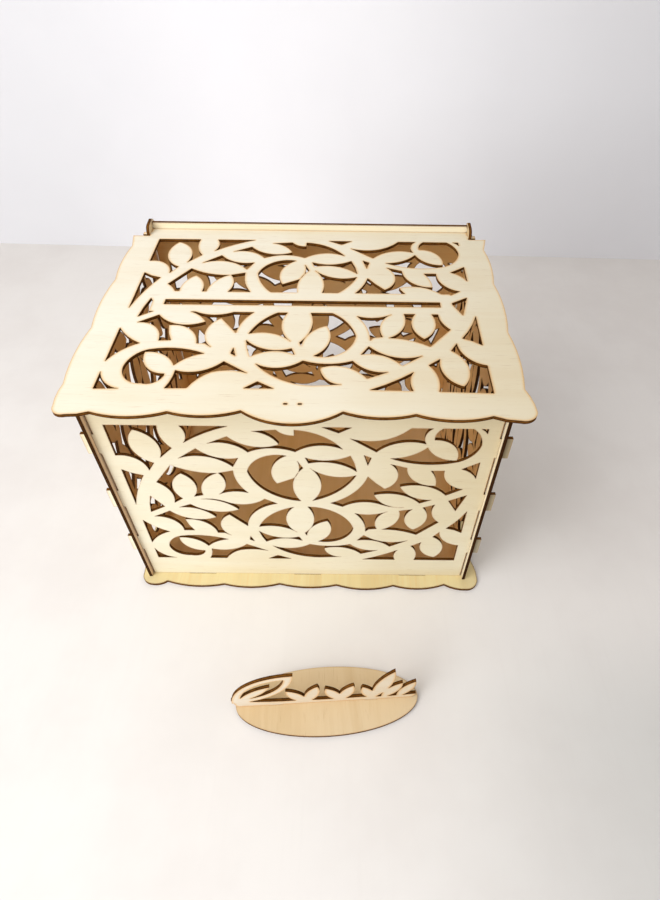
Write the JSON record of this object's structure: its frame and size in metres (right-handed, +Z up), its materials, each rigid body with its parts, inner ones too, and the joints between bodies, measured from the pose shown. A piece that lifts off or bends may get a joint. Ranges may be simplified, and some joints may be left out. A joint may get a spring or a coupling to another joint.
{
  "type": "wedding card box",
  "caption": "Hinged-lid cut plywood box with vine fretwork panels and a card slot in the lid, with an oval foot carrying an upright leafy scroll.",
  "frame": {"origin": "centre of the box's base plate, on its underside, where the box stands", "axes": "-Y is the box's front, +Z up, +X to the right seen from the front; the sign stands in front of the box"},
  "size_m": [0.3052, 0.3673, 0.2305],
  "materials": {
    "ply_pale": "matt",
    "ply_warm": "matt",
    "ply_natural": "matt",
    "ply_browned": "matt"
  },
  "bodies": {
    "box": {"base_plate": "ply_warm", "front_panel": "ply_pale", "back_panel": "ply_natural", "left_panel": "ply_natural", "right_panel": "ply_natural"},
    "lid": {"lid": "ply_pale", "hinge_cheek_left": "ply_browned", "hinge_cheek_right": "ply_browned"},
    "sign": {"sign_base": "ply_warm", "sign_ornament": "ply_pale"}
  },
  "joints": [
    {"name": "lid_hinge", "type": "hinge", "parent": "box", "child": "lid", "pos_m": [0, 0.106, 0.225], "axis": [-1, 0, 0], "range_deg": [0, 102]},
    {"name": "sign_lift", "type": "slide", "parent": "box", "child": "sign", "axis": [0, 0, 1], "range_m": [0, 0.1]}
  ]
}
